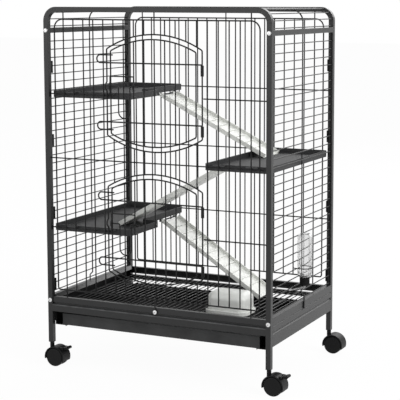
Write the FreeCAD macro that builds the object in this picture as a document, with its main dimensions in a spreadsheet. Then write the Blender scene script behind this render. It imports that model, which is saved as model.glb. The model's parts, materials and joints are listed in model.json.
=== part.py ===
import FreeCAD, Part
import math
import os
from types import SimpleNamespace

import Sketcher

V = FreeCAD.Vector
DOC = FreeCAD.newDocument("rodent_cage")
SHEET = DOC.addObject("Spreadsheet::Sheet", "Sizes")

# Driving dimensions in millimetres, by group
SIZES = {
    # Tube frame
    "frame_width": 776, "frame_depth": 522, "frame_height": 1146,
    "tube_width": 16, "tube_wall": 1.5, "frame_corner": 44,
    "leg_bottom": 77, "top_rail_drop": 73.4,
    # Sheet metal base
    "sheet": 1.2, "rail_top": 225.6, "rail_step": 201, "rail_bottom": 178,
    "rail_step_out": 4, "rail_groove": 3, "rail_groove_height": 6, "rear_rail_bottom": 203,
    "rear_bar_top": 196.5, "rear_bar_bottom": 182, "apron_top": 229.6, "apron_bottom": 143,
    "apron_rib": 179, "apron_rib_height": 9, "apron_rib_depth": 3, "apron_bead": 203.5,
    "apron_bead_height": 4, "apron_bead_depth": 1.2, "apron_lip": 11, "guide_floor": 131,
    "guide_ledge": 190, "guide_runner": 38, "guide_ledge_width": 22, "guide_lip": 2.5,
    "guide_end_gap": 2,
    # Drawer tray
    "tray_side_gap": 27, "tray_height": 37, "tray_setback": 18, "tray_back_gap": 22,
    "tray_hem": 9, "slide_gap": 0.3, "fit_gap": 0.1,
    # Floor grate
    "grate_wire": 3, "grate_pitch": 13, "grate_bar": 4, "grate_side_gap": 1.5,
    "grate_end_gap": 2, "grate_bar_inset": 4,
    # Front and rear wire panels
    "panel_wire": 4, "panel_border": 4.5, "panel_pitch": 35.6, "panel_side_gap": 22,
    "panel_top_drop": 38.5, "panel_bottom_gap": 25.4, "panel_corner": 28, "panel_foot_corner": 8,
    "upper_level_share": 0.72855, "middle_level_share": 0.49154, "lower_level_share": 0.23234,
    "eyelet_radius": 4.6, "eyelet_drop": 13.6, "eyelet_bend": 6, "eyelet_lead": 16, "eyelet_rest": 4,
    # Side and top wire panels
    "side_wire": 3.2, "side_pitch": 25.8, "side_top_gap": 26.3, "side_edge_wire": 4,
    "side_edge_inset": 6, "side_foot_lead": 24, "side_foot_rest": 14, "side_foot_drop": 24.6,
    "hoop_wire": 4.5, "top_pitch": 25.8, "top_wire_gap": 5,
    # Panel clips
    "clip_height": 38, "clip_width": 8, "clip_step_share": 0.2778, "clip_lowest_share": 0.0388,
    "clip_clearance": 0.05,
    # Doors
    "door_wire": 4.5, "surround_half_width": 163, "surround_height_share": 0.20666,
    "surround_rise": 44, "surround_corner": 7, "upper_door_share": 0.74139,
    "lower_door_share": 0.24518, "door_gap_left": 13.5, "door_gap_right": 20.6,
    "door_gap_ends": 15, "door_rise": 35, "cross_wire_share": 0.5127, "hook_reach": 32,
    "hook_rise": 24, "hook_return": 10, "hinge_sleeve": 32, "hinge_wall": 2.6, "hinge_clearance": 0.1,
    # Door latches
    "latch_wire": 4, "latch_height": 18.5, "latch_tip": 2.5, "handle_left": 29.5,
    "handle_width": 40, "handle_low_share": 0.4435, "latch_bend": 4, "staple_bar": 31,
    "staple_tail": 30, "bolt_tail": 16, "bulge_half_height": 5, "bulge_slope": 9,
    # Shelves
    "shelf_wall": 4, "shelf_below_wire": 12, "shelf_above_wire": 8, "shelf_corner": 15,
    "shelf_end_gap": 3, "left_shelf_width": 279, "shelf_notch": 62, "notch_start": 50,
    "right_shelf_width": 216, "shelf_side_gap": 3.5, "shelf_hook": 4, "shelf_hook_length": 40,
    # Ramps
    "ramp_overlap": 60.4, "ramp_width": 112, "ramp_board": 4, "ramp_lip": 14,
    "ramp_lip_wall": 3, "tread_pitch": 36, "tread_height": 3, "tread_depth": 5,
    "ramp_hook": 3, "hook_width": 10, "hook_inset": 8, "ramp_start_drop": 25,
    "hang_radius": 2.5, "hang_inset": 6, "hang_drop": 7.8, "hang_post": 4,
    "rear_ramp_offset": 130, "middle_ramp_offset": -52, "lower_ramp_offset": 140,
    # Hideout
    "hide_left": 108, "hide_front": 150, "hide_width": 147, "hide_depth": 105,
    "hide_height": 67, "hide_flange": 7, "hide_flange_height": 10, "hide_round": 24,
    "hide_wall": 2.5, "hide_door_width": 62, "hide_door_height": 46, "hide_door_corner": 18,
    # Water bottle
    "bottle_radius": 23, "bottle_offset": 43, "bottle_hang": 28.9, "bottle_rise": 106.1,
    "bottle_wall": 1.5, "bottle_shoulder": 14, "bottle_round": 8, "neck_radius": 11,
    "neck_length": 12, "cap_radius": 15, "cap_height": 27, "cap_wall": 2.5, "bottle_gap": 0.5,
    "spout_radius": 4, "spout_wall": 0.7, "spout_drop": 7, "spout_reach": 50,
    "spout_fall": 16, "spout_bend": 9, "ball_radius": 3.1, "hanger_wire": 3,
    "hanger_hook": 19.5, "hanger_bend": 4,
    # Screws
    "screw_head": 7, "screw_dome": 3.5, "base_screw_drop": 12.1, "screw_shank": 2.3,
    # Casters
    "wheel_radius": 29.5, "wheel_width": 16.5, "wheel_gap": 1, "wheel_crown": 4,
    "hub_face": 3, "caster_trail": 19, "axle_radius": 3, "fork_width": 8, "fork_radius": 12,
    "run_clearance": 0.05, "hood_gap": 1.5, "hood_wall": 4, "boss_radius": 7, "boss_low": 59,
    "boss_high": 74.8, "stem_radius": 4, "stem_collar": 6, "stem_depth": 34, "socket_flange": 1.5,
    "socket_depth": 40, "lever_radius": 3.6, "lever_length": 16, "lever_rise": 3, "lever_tip": 4.6,
    "lever_width": 24, "lever_root": 5, "lever_gap": 0.6, "lever_pin": 1.6, "lug_width": 4,
}

for row, (alias, number) in enumerate(SIZES.items(), start=1):
    SHEET.set(f"A{row}", alias)
    SHEET.set(f"B{row}", str(number))
    SHEET.setAlias(f"B{row}", alias)
DOC.recompute()


class Size:
    """A length that knows its value and the sheet formula it comes from."""

    def __init__(self, value, text):
        self.value = value
        self.text = text

    def __add__(self, other):
        other = as_size(other)
        return Size(self.value + other.value, f"({self.text} + {other.text})")

    def __sub__(self, other):
        other = as_size(other)
        return Size(self.value - other.value, f"({self.text} - {other.text})")

    def __mul__(self, other):
        other = as_size(other)
        return Size(self.value * other.value, f"({self.text} * {other.text})")

    def __truediv__(self, other):
        other = as_size(other)
        return Size(self.value / other.value, f"({self.text} / {other.text})")

    def __neg__(self):
        return self * -1

    def root(self):
        return Size(math.sqrt(self.value), f"sqrt({self.text})")


def as_size(number):
    return number if isinstance(number, Size) else Size(number, str(number))


s = SimpleNamespace(**{alias: Size(SHEET.get(alias), f"Sizes.{alias}") for alias in SIZES})
AXES = {"x": V(1, 0, 0), "y": V(0, 1, 0), "z": V(0, 0, 1)}
SIDES = {"left": -1, "right": 1}
ENDS = {"front": -1, "rear": 1}
ARC_STEP = 16
HANGER_ROW = 4.2
LEVER_TURN = 48
CORNER_SHARES = (0.174, 0.539, 0.904)
SHOULDER_SHARES = ((0.8, 0.03), (0.94, 0.35), (1, 1))
TOUCH = 1e-6
PARTS = []


# Modelling helpers
def point(x, y, z):
    return V(as_size(x).value, as_size(y).value, as_size(z).value)


def bind(obj, name, size):
    obj.setExpression(name, as_size(size).text)


def place(obj, x=0, y=0, z=0):
    for axis, size in zip("xyz", (x, y, z)):
        bind(obj, f"Placement.Base.{axis}", size)
    return obj


def keep(obj, label):
    obj.Label = label
    PARTS.append(obj)
    return obj


def rod(start, axis, length, diameter):
    """A straight round bar from a start point along one axis."""
    bar = DOC.addObject("Part::Cylinder", "Rod")
    bar.Placement = FreeCAD.Placement(V(), FreeCAD.Rotation(AXES["z"], AXES[axis]))
    bind(bar, "Radius", diameter / 2)
    bind(bar, "Height", length)
    return place(bar, *start)


def block(start, length, width, height):
    """A box from its lowest corner."""
    box = DOC.addObject("Part::Box", "Block")
    for name, size in (("Length", length), ("Width", width), ("Height", height)):
        bind(box, name, size)
    return place(box, *start)


def cut(base, tool):
    result = DOC.addObject("Part::Cut", "Cut")
    result.Base = base
    result.Tool = tool
    return result


def sleeve(start, length, inner_radius, outer_radius):
    """An upright tube from its lower end."""
    return cut(rod(start, "z", length, outer_radius * 2), rod(start, "z", length, inner_radius * 2))


def group(label, members):
    compound = DOC.addObject("Part::Compound", "Group")
    compound.Links = members
    return keep(compound, label)


def shape_part(shape):
    feature = DOC.addObject("Part::Feature", "Shape")
    feature.Shape = shape
    return feature


def plane_of(body, role):
    return next(o for o in body.Origin.OriginFeatures if o.Role == role)


def sketch_polygon(body, role, outlines):
    """Closed outlines on an origin plane, each corner held by two bound distances."""
    sketch = body.newObject("Sketcher::SketchObject", "Outline")
    sketch.AttachmentSupport = (plane_of(body, role), [""])
    sketch.MapMode = "FlatFace"
    for corners in outlines:
        first = len(sketch.Geometry)
        spots = [V(as_size(a).value, as_size(b).value, 0) for a, b in corners]
        for here, there in zip(spots, spots[1:] + spots[:1]):
            sketch.addGeometry(Part.LineSegment(here, there))
        for i, (a, b) in enumerate(corners):
            after = first + (i + 1) % len(corners)
            sketch.addConstraint(Sketcher.Constraint("Coincident", first + i, 2, after, 1))
            for kind, size in (("DistanceX", as_size(a)), ("DistanceY", as_size(b))):
                held = sketch.addConstraint(Sketcher.Constraint(kind, -1, 1, first + i, 1, size.value))
                sketch.setExpression(f"Constraints[{held}]", size.text)
    return sketch


def new_body():
    return DOC.addObject("PartDesign::Body", "Body")


def pad(body, role, outlines, length):
    feature = body.newObject("PartDesign::Pad", "Pad")
    feature.Profile = sketch_polygon(body, role, outlines)
    bind(feature, "Length", length)
    return feature


def revolve(body, outlines):
    """A full turn about the body's upright axis."""
    sketch = sketch_polygon(body, "XZ_Plane", outlines)
    feature = body.newObject("PartDesign::Revolution", "Revolution")
    feature.Profile = sketch
    feature.ReferenceAxis = (sketch, ["V_Axis"])
    feature.Angle = 360
    return feature


def edges_along(shape, axis):
    """Names of the straight edges that run along one axis."""
    names = []
    for i, edge in enumerate(shape.Edges, start=1):
        ends = edge.Vertexes
        straight = len(ends) == 2 and edge.Curve.TypeId == "Part::GeomLine"
        if straight and (ends[1].Point - ends[0].Point).cross(AXES[axis]).Length < TOUCH:
            names.append(f"Edge{i}")
    return names


def face_towards(shape, direction):
    """Name of the flat face that lies furthest along a direction."""
    flat = [(face.CenterOfMass.dot(direction), i) for i, face in enumerate(shape.Faces, start=1)
            if face.normalAt(0, 0).dot(direction) > 0.999]
    return f"Face{max(flat)[1]}"


def fillet(body, base, edges, radius):
    feature = body.newObject("PartDesign::Fillet", "Fillet")
    feature.Base = (base, edges)
    bind(feature, "Radius", radius)
    DOC.recompute()
    return feature


def hollow(body, base, direction, wall):
    """Opens one face and leaves an even wall inside the other faces."""
    feature = body.newObject("PartDesign::Thickness", "Shell")
    feature.Base = (base, [face_towards(base.Shape, direction)])
    bind(feature, "Value", wall)
    feature.Reversed = True
    DOC.recompute()
    return feature


def round_section(radius, bore=0):
    """A disc, or a ring where there is a bore, square to the path."""
    def section(origin, along, across):
        rims = [Part.Wire(Part.Circle(origin, along, r).toShape()) for r in (radius, bore) if r]
        disc = Part.Face(rims[0])
        return disc.cut(Part.Face(rims[1])).Faces[0] if bore else disc
    return section


def square_section(width, wall):
    """A square ring with one side along the across direction."""
    def section(origin, along, across):
        other = along.cross(across)

        def outline(side):
            signs = ((-1, -1), (1, -1), (1, 1), (-1, 1))
            corners = [origin + across * (side / 2 * a) + other * (side / 2 * b) for a, b in signs]
            return Part.Face(Part.makePolygon(corners + corners[:1]))
        return outline(width).cut(outline(width - 2 * wall)).Faces[0]
    return section


def bent(points, bends, section, across=None, closed=False):
    """Straight runs joined by tangent bends, each its own solid, end face to end face."""
    count = len(points)
    inner = range(count) if closed else range(1, count - 1)
    leave = list(points)
    reach = list(points)
    turns = {}
    for i in inner:
        into = (points[i] - points[i - 1]).normalize()
        away = (points[(i + 1) % count] - points[i]).normalize()
        angle = into.getAngle(away)
        length = bends[i] * math.tan(angle / 2)
        reach[i] = points[i] - into * length
        leave[i] = points[i] + away * length
        turns[i] = (into, into.cross(away).normalize(), math.degrees(angle))
    solids = []
    for i in range(count if closed else count - 1):
        after = (i + 1) % count
        run = reach[after] - leave[i]
        along = (points[after] - points[i]).normalize()
        if run.dot(along) > TOUCH:
            solids.append(section(leave[i], along, across).extrude(run))
        if after in turns:
            solids += bend_solids(reach[after], bends[after], turns[after], section, across)
    return solids


def bend_solids(start, radius, turn, section, across):
    """One bend as equal arcs, so that no arc turns far."""
    into, axis, angle = turn
    centre = start + axis.cross(into) * radius
    steps = math.ceil(angle / ARC_STEP)
    face = section(start, into, across)
    solids = []
    for step in range(steps):
        arc = face.copy()
        arc.rotate(centre, axis, angle / steps * step)
        solids.append(arc.revolve(centre, axis, angle / steps))
    return solids


def wire_bars(points, bends, diameter, closed=False):
    corners = [point(*spot) for spot in points]
    radii = [as_size(bend).value for bend in bends]
    return bent(corners, radii, round_section(diameter.value / 2), closed=closed)


# Places that several pieces share
half_width = s.frame_width / 2
half_depth = s.frame_depth / 2
post_x = half_width - s.tube_width / 2
post_y = half_depth - s.tube_width / 2
post_inside_x = half_width - s.tube_width
post_inside_y = half_depth - s.tube_width
tube_line = s.frame_height - s.tube_width / 2
top_rail_z = s.frame_height - s.top_rail_drop
panel_half_width = post_inside_x - s.panel_side_gap
panel_top = s.frame_height - s.panel_top_drop
panel_bottom = s.rail_top + s.panel_bottom_gap
rail_face = half_depth - s.rail_step_out
upright_y = post_y
level_y = upright_y - s.panel_wire
border_y = upright_y + s.panel_wire / 2 + s.panel_border / 2
surround_y = upright_y + s.panel_wire / 2 + s.door_wire / 2
door_y = surround_y + s.slide_gap
cross_y = door_y + s.door_wire
door_upright_y = door_y - s.door_wire / 2 - s.panel_wire / 2
bolt_y = door_y + s.door_wire / 2 + s.slide_gap + s.latch_wire / 2
grate_bar_z = s.guide_ledge + s.grate_bar / 2
grate_wire_z = grate_bar_z + s.grate_bar / 2 + s.grate_wire / 2
grate_top = grate_wire_z + s.grate_wire / 2
side_edge_x = post_x
side_wire_x = side_edge_x + s.side_edge_wire / 2 + s.side_wire / 2
side_edge_y = post_inside_y - s.side_edge_inset
shelf_half_depth = level_y - s.panel_wire / 2 - s.shelf_end_gap - s.shelf_hook
bottle_x = side_wire_x + s.side_wire / 2 + s.bottle_gap + s.bottle_radius
side_high = top_rail_z - s.tube_width / 2
side_top_wire = side_high - s.side_top_gap
side_rows = int((side_top_wire.value - s.apron_top.value) / s.side_pitch.value)
hanger_z = side_top_wire - s.side_pitch * (side_rows - HANGER_ROW)
bottle_low = hanger_z - s.bottle_hang
eyelet_z = s.rail_top - s.eyelet_drop


def panel_height(share):
    return panel_bottom + (panel_top - panel_bottom) * share


upper_level = panel_height(s.upper_level_share)
middle_level = panel_height(s.middle_level_share)
lower_level = panel_height(s.lower_level_share)
surround_half_height = (panel_top - panel_bottom) * s.surround_height_share
cross_offset = surround_half_height * s.cross_wire_share
DOORS = {"upper": panel_height(s.upper_door_share), "lower": panel_height(s.lower_door_share)}


# Tube frame
def frame_hoop(label, end):
    """One bent tube: two posts and the top tube between them."""
    y = post_y * end
    corners = [point(-post_x, y, s.leg_bottom), point(-post_x, y, tube_line),
               point(post_x, y, tube_line), point(post_x, y, s.leg_bottom)]
    bend = (s.frame_corner - s.tube_width / 2).value
    section = square_section(s.tube_width.value, s.tube_wall.value)
    solids = bent(corners, [bend] * len(corners), section, across=AXES["y"])
    keep(shape_part(Part.makeCompound(solids)), label)


def square_tube(start, length):
    """A hollow tube along Y from the corner of its front end."""
    x, y, z = start
    bore = s.tube_width - s.tube_wall * 2
    outer = block(start, s.tube_width, length, s.tube_width)
    inner = block((x + s.tube_wall, y, z + s.tube_wall), bore, length, bore)
    return cut(outer, inner)


def build_frame():
    for name, end in ENDS.items():
        frame_hoop(f"{name}_frame", end)
    for name, side in SIDES.items():
        start = (post_x * side - s.tube_width / 2, -post_inside_y, side_high)
        keep(square_tube(start, post_inside_y * 2), f"{name}_top_rail")


# Sheet metal base
def folded(outline, role, length, start):
    body = new_body()
    pad(body, role, [outline], length)
    return place(body, *start)


def front_rail_outline():
    """Two stepped bands with a groove between them, and flanges turned in at the top and bottom."""
    step, inside = rail_face, post_inside_y
    groove = step - s.rail_groove
    groove_low = s.rail_step + s.rail_groove / 2
    groove_high = s.rail_step + s.rail_groove_height
    ledge = s.rail_step - s.rail_step_out / 2
    return [(-inside, s.rail_top), (-step, s.rail_top), (-step, groove_high),
            (-groove, groove_high - s.rail_groove / 2), (-groove, groove_low),
            (-half_depth, ledge), (-half_depth, s.rail_bottom), (-inside, s.rail_bottom),
            (-inside, s.rail_bottom + s.sheet), (-half_depth + s.sheet, s.rail_bottom + s.sheet),
            (-half_depth + s.sheet, ledge - s.sheet / 2), (-groove + s.sheet, groove_low - s.sheet / 2),
            (-groove + s.sheet, groove_high - s.rail_groove / 2 + s.sheet / 2),
            (-step + s.sheet, groove_high + s.sheet / 2), (-step + s.sheet, s.rail_top - s.sheet),
            (-inside, s.rail_top - s.sheet)]


def rear_rail_outline(low, high):
    outside, inside = rail_face, post_inside_y
    return [(inside, high), (outside, high), (outside, low), (inside, low), (inside, low + s.sheet),
            (outside - s.sheet, low + s.sheet), (outside - s.sheet, high - s.sheet),
            (inside, high - s.sheet)]


def apron_outline(side):
    """A side sheet with a bead and a rib; its top slopes down inside and its foot turns in."""
    skin = half_width - s.sheet
    tip_x, tip_z = post_inside_x - s.apron_lip, s.apron_top - s.apron_lip
    outer = [(tip_x, tip_z), (post_inside_x, s.apron_top), (half_width, s.apron_top)]
    inner = [(tip_x, tip_z - s.sheet), (post_inside_x, s.apron_top - s.sheet), (skin, s.apron_top - s.sheet)]
    ribs = ((s.apron_bead, s.apron_bead_height, s.apron_bead_depth),
            (s.apron_rib, s.apron_rib_height, s.apron_rib_depth))
    for rib, height, depth in ribs:
        profile = [(0, height), (depth, height - depth), (depth, depth), (0, 0)]
        shifts = (s.sheet / 2, s.sheet / 2, -s.sheet / 2, -s.sheet / 2)
        outer += [(half_width - away, rib + up) for away, up in profile]
        inner += [(skin - away, rib + up + shift) for (away, up), shift in zip(profile, shifts)]
    outer += [(half_width, s.apron_bottom), (post_inside_x, s.apron_bottom)]
    inner += [(skin, s.apron_bottom + s.sheet), (post_inside_x, s.apron_bottom + s.sheet)]
    return [(x * side, z) for x, z in outer + inner[::-1]]


def build_guide(name, side):
    """A channel: the tray runs on its lower flange and the grate lies on its upper one."""
    reach = post_inside_y - s.guide_end_gap
    height = s.guide_ledge - s.guide_floor
    plates = ((s.sheet, s.guide_floor, 0, height),
              (s.guide_runner - s.sheet, s.guide_floor, s.sheet, s.sheet),
              (s.sheet, s.guide_floor - s.guide_lip, s.guide_runner - s.sheet, s.guide_lip),
              (s.guide_ledge_width - s.sheet, s.guide_ledge - s.sheet, s.sheet, s.sheet))
    members = []
    for width, low, inset, thickness in plates:
        outer = (post_inside_x - inset) * side
        x = outer - width if side > 0 else outer
        members.append(block((x, -reach, low), width, reach * 2, thickness))
    group(f"{name}_tray_guide", members)


def build_base():
    across, start = post_inside_x * 2, (-post_inside_x, 0, 0)
    keep(folded(front_rail_outline(), "YZ_Plane", across, start), "front_base_rail")
    levels = ((s.rear_rail_bottom, s.rail_top), (s.rear_bar_bottom, s.rear_bar_top))
    group("rear_base_rail", [folded(rear_rail_outline(low, high), "YZ_Plane", across, start)
                             for low, high in levels])
    for name, side in SIDES.items():
        apron = folded(apron_outline(side), "XZ_Plane", post_inside_y * 2, (0, post_inside_y, 0))
        keep(apron, f"{name}_base_apron")
        build_guide(name, side)


# Drawer tray
def build_tray():
    front = -half_depth + s.tray_setback
    back = half_depth - s.tray_back_gap
    half = post_inside_x - s.tray_side_gap
    body = new_body()
    base = pad(body, "XY_Plane", [rectangle(-half, front, half, back)], s.tray_height)
    DOC.recompute()
    hollow(body, base, AXES["z"], s.sheet)
    hem_low = s.tray_height - s.tray_hem
    hem = [(front, hem_low), (front, s.tray_height), (front - s.sheet, s.tray_height),
           (front - s.sheet, hem_low)]
    lip = pad(body, "YZ_Plane", [hem], half * 2)
    lip.Midplane = True
    place(body, 0, 0, s.guide_floor + s.sheet + s.slide_gap)
    keep(body, "tray")


def rectangle(left, low, right, high):
    return [(left, low), (right, low), (right, high), (left, high)]


# Floor grate
def build_grate():
    span = post_inside_x - s.sheet - s.grate_side_gap
    reach = post_inside_y - s.grate_end_gap
    wires = int((span.value - s.grate_wire.value) / s.grate_pitch.value)
    members = [rod((s.grate_pitch * k, -reach, grate_wire_z), "y", reach * 2, s.grate_wire)
               for k in range(-wires, wires + 1)]
    bar_reach = reach - s.grate_bar_inset
    for share in (-1, -0.5, 0, 0.5, 1):
        members.append(rod((-span, bar_reach * share, grate_bar_z), "x", span * 2, s.grate_bar))
    group("floor_grate", members)


# Front and rear wire panels
def arch_height(half_height, half_span, rise, x):
    """Height of a door's arch above the door's centre, at a place across it."""
    radius = (half_span * half_span + rise * rise) / (rise * 2)
    return half_height - radius + (radius * radius - x * x).root()


def border_bars(end):
    """The panel's outer wire, rounded at its top corners."""
    y = border_y * end
    half, low, high = panel_half_width, panel_bottom, panel_top
    corners = [(-half, y, low), (-half, y, high), (half, y, high), (half, y, low)]
    bends = [s.panel_foot_corner, s.panel_corner, s.panel_corner, s.panel_foot_corner]
    return shape_part(Part.makeCompound(wire_bars(corners, bends, s.panel_border, closed=True)))


def level_bars(end, spans):
    """Wires across the panel that also carry the shelves."""
    return [rod((start, level_y * end, height), "x", stop - start, s.panel_wire)
            for start, stop, height in spans]


def upright(x, low, high, end):
    return rod((x, upright_y * end, low), "z", high - low, s.panel_wire)


def rear_uprights(count):
    wires = []
    for k in range(-count, count + 1):
        held = k in (-count, 0, count)
        low = s.rail_top if held else panel_bottom
        high = tube_line - s.tube_width / 2 if held else panel_top
        wires.append(upright(s.panel_pitch * k, low, high, ENDS["rear"]))
    return wires


def front_uprights(count):
    """Full wires beside the doors, and short ones above, between and below them."""
    wires = []
    for k in range(-count, count + 1):
        x = s.panel_pitch * k
        if k in (-count, count):
            wires.append(upright(x, s.rail_top, tube_line - s.tube_width / 2, ENDS["front"]))
        elif abs(x.value) > s.surround_half_width.value + s.door_wire.value:
            wires.append(upright(x, panel_bottom, panel_top, ENDS["front"]))
        else:
            wires += short_uprights(x, k == 0)
    return wires


def short_uprights(x, middle):
    arch = arch_height(surround_half_height, s.surround_half_width, s.surround_rise, x)
    upper, lower = DOORS["upper"], DOORS["lower"]
    low = s.rail_top + s.eyelet_lead if middle else panel_bottom
    high = tube_line - s.tube_width / 2 if middle else panel_top
    spans = ((low, lower - arch), (lower + arch, upper - arch), (upper + arch, high))
    return [upright(x, start, stop, ENDS["front"]) for start, stop in spans]


def middle_foot():
    """The middle upright's foot: it steps out over the rail and ends in an eyelet."""
    lead = s.rail_top + s.eyelet_lead
    out = rail_face + s.fit_gap + s.panel_wire / 2
    ring_top = eyelet_z + s.eyelet_radius
    spots = [(0, -upright_y, lead), (0, -upright_y, lead - s.eyelet_bend),
             (0, -out, s.rail_top + s.eyelet_rest), (0, -out, ring_top)]
    bars = wire_bars(spots, [s.eyelet_bend / 2] * len(spots), s.panel_wire)
    eyelet = Part.makeTorus(s.eyelet_radius.value, s.panel_wire.value / 2,
                            point(0, -out, eyelet_z), AXES["y"])
    stem = bars.pop()
    return shape_part(Part.makeCompound(bars + [stem.cut(eyelet), eyelet]))


def build_flat_panels():
    count = int((panel_half_width.value - s.panel_wire.value) / s.panel_pitch.value)
    wall = post_inside_x
    levels = [(-wall, wall, height) for height in (upper_level, middle_level, lower_level)]
    group("rear_panel", [border_bars(ENDS["rear"])] + rear_uprights(count)
          + level_bars(ENDS["rear"], levels))
    edge = s.surround_half_width
    spans = [(-wall, wall, middle_level)]
    for height in (upper_level, lower_level):
        spans += [(-wall, -edge, height), (edge, wall, height)]
    group("front_panel", [border_bars(ENDS["front"]), middle_foot()] + front_uprights(count)
          + level_bars(ENDS["front"], spans))


# Side and top wire panels
def middle_wire(side):
    """A side panel's middle wire: it steps out near its foot and ends on the apron's face."""
    out = half_width + s.fit_gap + s.side_edge_wire / 2
    spots = [(side_edge_x * side, 0, side_high),
             (side_edge_x * side, 0, s.apron_top + s.side_foot_lead),
             (out * side, 0, s.apron_top + s.side_foot_rest),
             (out * side, 0, s.apron_top - s.side_foot_drop)]
    bars = wire_bars(spots, [s.eyelet_bend / 2] * len(spots), s.side_edge_wire)
    return shape_part(Part.makeCompound(bars))


def build_side_panels():
    for name, side in SIDES.items():
        members = [rod((side_wire_x * side, -post_inside_y, side_top_wire - s.side_pitch * k), "y",
                       post_inside_y * 2, s.side_wire) for k in range(side_rows + 1)]
        for end in ENDS.values():
            members.append(rod((side_edge_x * side, side_edge_y * end, s.apron_top), "z",
                               side_high - s.apron_top, s.side_edge_wire))
        group(f"{name}_panel", members + [middle_wire(side)])


def top_wire_places():
    """Places outside the hoop: across the top, round the corners and above the side rails."""
    lift = (s.side_wire.value + s.hoop_wire.value) / 2
    corner = s.frame_corner.value - s.tube_width.value / 2
    flat = post_x.value - corner
    pitch = s.top_pitch.value
    count = int(flat / pitch)
    top = [(pitch * k, tube_line.value + lift) for k in range(-count, count + 1)]
    edge = [(post_x.value + lift, (side_high + s.tube_width + s.top_wire_gap).value)]
    for share in CORNER_SHARES:
        away, up = polar(corner + lift, 90 * (1 - share))
        edge.append((flat + away, tube_line.value - corner + up))
    return top + edge + [(-x, z) for x, z in edge]


def build_top_panel():
    """Wires from frame to frame over the top, tied by one hoop that stands on the side rails."""
    reach = post_inside_y.value
    disc = round_section(s.side_wire.value / 2)
    wires = [disc(V(x, -reach, z), AXES["y"], None).extrude(V(0, 2 * reach, 0))
             for x, z in top_wire_places()]
    stand = side_high + s.tube_width
    spots = [(-post_x, 0, stand), (-post_x, 0, tube_line), (post_x, 0, tube_line), (post_x, 0, stand)]
    bend = s.frame_corner - s.tube_width / 2
    hoop = wire_bars(spots, [bend] * len(spots), s.hoop_wire)
    keep(shape_part(Part.makeCompound(wires + hoop)), "top_panel")


def build_clips():
    """Plastic clips that hold the side panels' edge wires on the posts."""
    members = []
    bore = s.side_edge_wire + s.clip_clearance * 2
    for side in SIDES.values():
        for end in ENDS.values():
            for k in range(4):
                share = s.clip_lowest_share + s.clip_step_share * k
                z = s.apron_top + (side_high - s.apron_top) * share - s.clip_height / 2
                depth = post_inside_y - side_edge_y + s.side_edge_wire
                x = side_edge_x * side - (s.clip_width if side > 0 else as_size(0))
                y = post_inside_y * end - (depth if end > 0 else as_size(0))
                wire = rod((side_edge_x * side, side_edge_y * end, z), "z", s.clip_height, bore)
                members.append(cut(block((x, y, z), s.clip_width, depth, s.clip_height), wire))
    group("panel_clips", members)


# Doors
def ring_points(left, right, half_height, rise, y, centre):
    """Corners of a door ring: straight sides and an arch at each end."""
    middle = (left.value + right.value) / 2
    half = (right.value - left.value) / 2
    height, rise = half_height.value, rise.value
    shoulder = height - rise
    slope = 2 * rise * half / (half ** 2 - rise ** 2)
    peak = shoulder + half * slope
    corners = [(left.value, -shoulder), (left.value, shoulder), (middle, peak),
               (right.value, shoulder), (right.value, -shoulder), (middle, -peak)]
    corner = s.surround_corner.value
    turn = math.pi / 2 - math.atan(slope)
    arch = (half * math.hypot(1, slope) - corner * math.tan(turn / 2)) / slope
    bends = [corner, corner, arch, corner, corner, arch]
    return [(x, y, centre + z) for x, z in corners], bends


def build_surround(name, centre):
    """The fixed ring round a doorway, with a bulge that keeps the bolt."""
    half = s.surround_half_width
    points, bends = ring_points(-half, half, surround_half_height, s.surround_rise, -surround_y, centre)
    keeper_y = bolt_y + s.latch_wire / 2 + s.slide_gap + s.door_wire / 2
    points[1:1] = [(-half, y, z) for y, z in bulge(-surround_y, -keeper_y, centre + s.latch_height)]
    bends[1:1] = [s.bulge_half_height / 2] * 4
    keep(shape_part(Part.makeCompound(wire_bars(points, bends, s.door_wire, closed=True))),
         f"{name}_door_surround")


def bulge(y, out, height):
    """Places of a bulge in an upright wire, from the lowest up."""
    near, far = s.bulge_half_height, s.bulge_half_height + s.bulge_slope
    return [(y, height - far), (out, height - near), (out, height + near), (y, height + far)]


def door_edges():
    return -s.surround_half_width + s.door_gap_left, s.surround_half_width - s.door_gap_right


def build_door(name, centre):
    left, right = door_edges()
    half_height = surround_half_height - s.door_gap_ends
    points, bends = ring_points(left, right, half_height, s.door_rise, -door_y, centre)
    members = [shape_part(Part.makeCompound(wire_bars(points, bends, s.door_wire, closed=True)))]
    middle = (left + right) / 2
    half = (right - left) / 2
    count = int(half.value / s.panel_pitch.value)
    for k in range(-count + 1, count):
        x = s.panel_pitch * k
        arch = arch_height(half_height, half, s.door_rise, x - middle)
        members.append(rod((x, -door_upright_y, centre - arch), "z", arch * 2, s.panel_wire))
    for side in (-1, 1):
        height = centre + cross_offset * side
        members.append(cross_wire(height, s.hook_rise * side, left))
    group(f"{name}_door", members)
    hinges = []
    for side in (-1, 1):
        top = centre + cross_offset * side - s.door_wire / 2
        start = (s.surround_half_width, -surround_y, top - s.hinge_sleeve)
        bore = s.door_wire / 2 + s.hinge_clearance
        hinges.append(sleeve(start, s.hinge_sleeve, bore, bore + s.hinge_wall))
    group(f"{name}_door_hinges", hinges)


def cross_wire(height, rise, left):
    """A wire across the door that turns back as a hook outside the surround."""
    tip = -s.surround_half_width - s.hook_reach
    spots = [(left + s.hook_return, -cross_y, height + rise), (tip, -cross_y, height + rise),
             (tip, -cross_y, height), (s.surround_half_width + s.hinge_wall, -cross_y, height)]
    turn = s.hook_rise / 2 * 0.98
    return shape_part(Part.makeCompound(wire_bars(spots, [turn] * len(spots), s.door_wire)))


# Door latches
def build_latch(name, centre):
    left, _ = door_edges()
    height = centre + s.latch_height
    near = s.panel_pitch * -2 + s.panel_wire / 2 + s.latch_wire / 2
    low = centre - surround_half_height * s.handle_low_share
    keep(build_bolt(left, near, height, low), f"{name}_latch_bolt")
    keep(build_staple(left, near, height), f"{name}_latch_guide")


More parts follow.
